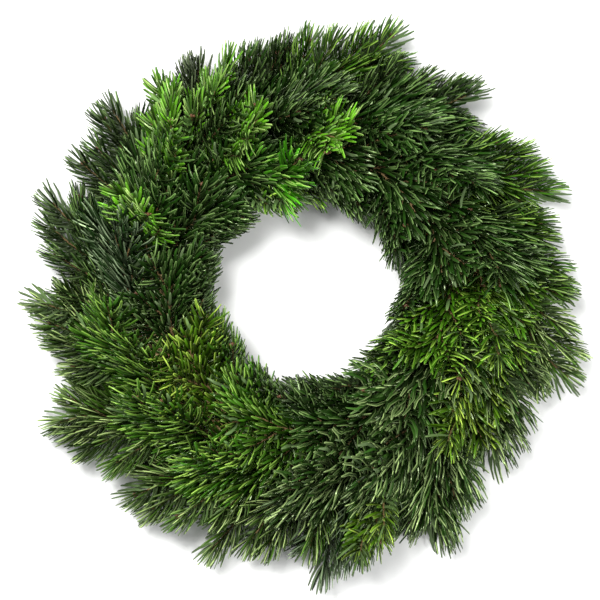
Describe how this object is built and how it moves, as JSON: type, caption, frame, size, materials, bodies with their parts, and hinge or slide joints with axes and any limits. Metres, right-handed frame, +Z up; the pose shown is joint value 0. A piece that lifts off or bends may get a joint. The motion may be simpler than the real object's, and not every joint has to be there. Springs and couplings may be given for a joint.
{
  "type": "evergreen wreath",
  "caption": "Round fresh fir wreath: overlapping sprays of flat needles, all laid clockwise, bound with wire on a straw ring, lying on its flat back with an open middle.",
  "frame": {"origin": "under the middle of the wreath's own box, on the surface that the wreath lies on", "axes": "+Z up out of the wreath's face, +Y towards its top as it hangs, +X to the right as its face is seen"},
  "size_m": [0.4694, 0.4766, 0.1039],
  "materials": {
    "straw": "dry pale straw, laid along the ring and bound tight",
    "wire": "thin steel wire with dark green lacquer",
    "needles_dark": "waxy dark blue-green fir needles on tan shoots",
    "needles_mid": "waxy mid green fir needles on tan shoots",
    "needles_young": "waxy bright green young fir needles on tan shoots"
  },
  "bodies": {
    "root": {"straw_ring": "straw", "binding_wire": "wire", "outer_edge_spray_01": "needles_dark", "outer_edge_spray_02": "needles_mid", "outer_edge_spray_03": "needles_dark", "outer_edge_spray_04": "needles_mid", "outer_edge_spray_05": "needles_mid", "outer_edge_spray_06": "needles_mid", "outer_edge_spray_07": "needles_dark", "outer_edge_spray_08": "needles_dark", "outer_edge_spray_09": "needles_dark", "outer_edge_spray_10": "needles_mid", "outer_edge_spray_11": "needles_mid", "outer_edge_spray_12": "needles_mid", "outer_edge_spray_13": "needles_mid", "outer_edge_spray_14": "needles_dark", "outer_edge_spray_15": "needles_dark", "outer_edge_spray_16": "needles_dark", "outer_crown_spray_01": "needles_dark", "outer_crown_spray_02": "needles_dark", "outer_crown_spray_03": "needles_dark", "outer_crown_spray_04": "needles_dark", "outer_crown_spray_05": "needles_young", "outer_crown_spray_06": "needles_young", "outer_crown_spray_07": "needles_dark", "outer_crown_spray_08": "needles_dark", "outer_crown_spray_09": "needles_mid", "outer_crown_spray_10": "needles_mid", "outer_crown_spray_11": "needles_mid", "outer_crown_spray_12": "needles_dark", "outer_crown_spray_13": "needles_dark", "outer_crown_spray_14": "needles_dark", "inner_crown_spray_01": "needles_dark", "inner_crown_spray_02": "needles_dark", "inner_crown_spray_03": "needles_dark", "inner_crown_spray_04": "needles_young", "inner_crown_spray_05": "needles_dark", "inner_crown_spray_06": "needles_dark", "inner_crown_spray_07": "needles_mid", "inner_crown_spray_08": "needles_young", "inner_crown_spray_09": "needles_dark", "inner_crown_spray_10": "needles_dark", "inner_crown_spray_11": "needles_dark", "inner_edge_spray_01": "needles_dark", "inner_edge_spray_02": "needles_dark", "inner_edge_spray_03": "needles_dark", "inner_edge_spray_04": "needles_mid", "inner_edge_spray_05": "needles_dark", "inner_edge_spray_06": "needles_dark", "inner_edge_spray_07": "needles_mid", "inner_edge_spray_08": "needles_dark", "inner_edge_spray_09": "needles_dark", "inner_edge_spray_10": "needles_young", "young_sprig_1": "needles_young", "young_sprig_2": "needles_young", "young_sprig_3": "needles_young", "young_sprig_4": "needles_young", "young_sprig_5": "needles_young", "young_sprig_6": "needles_young", "young_sprig_7": "needles_young"}
  },
  "joints": []
}
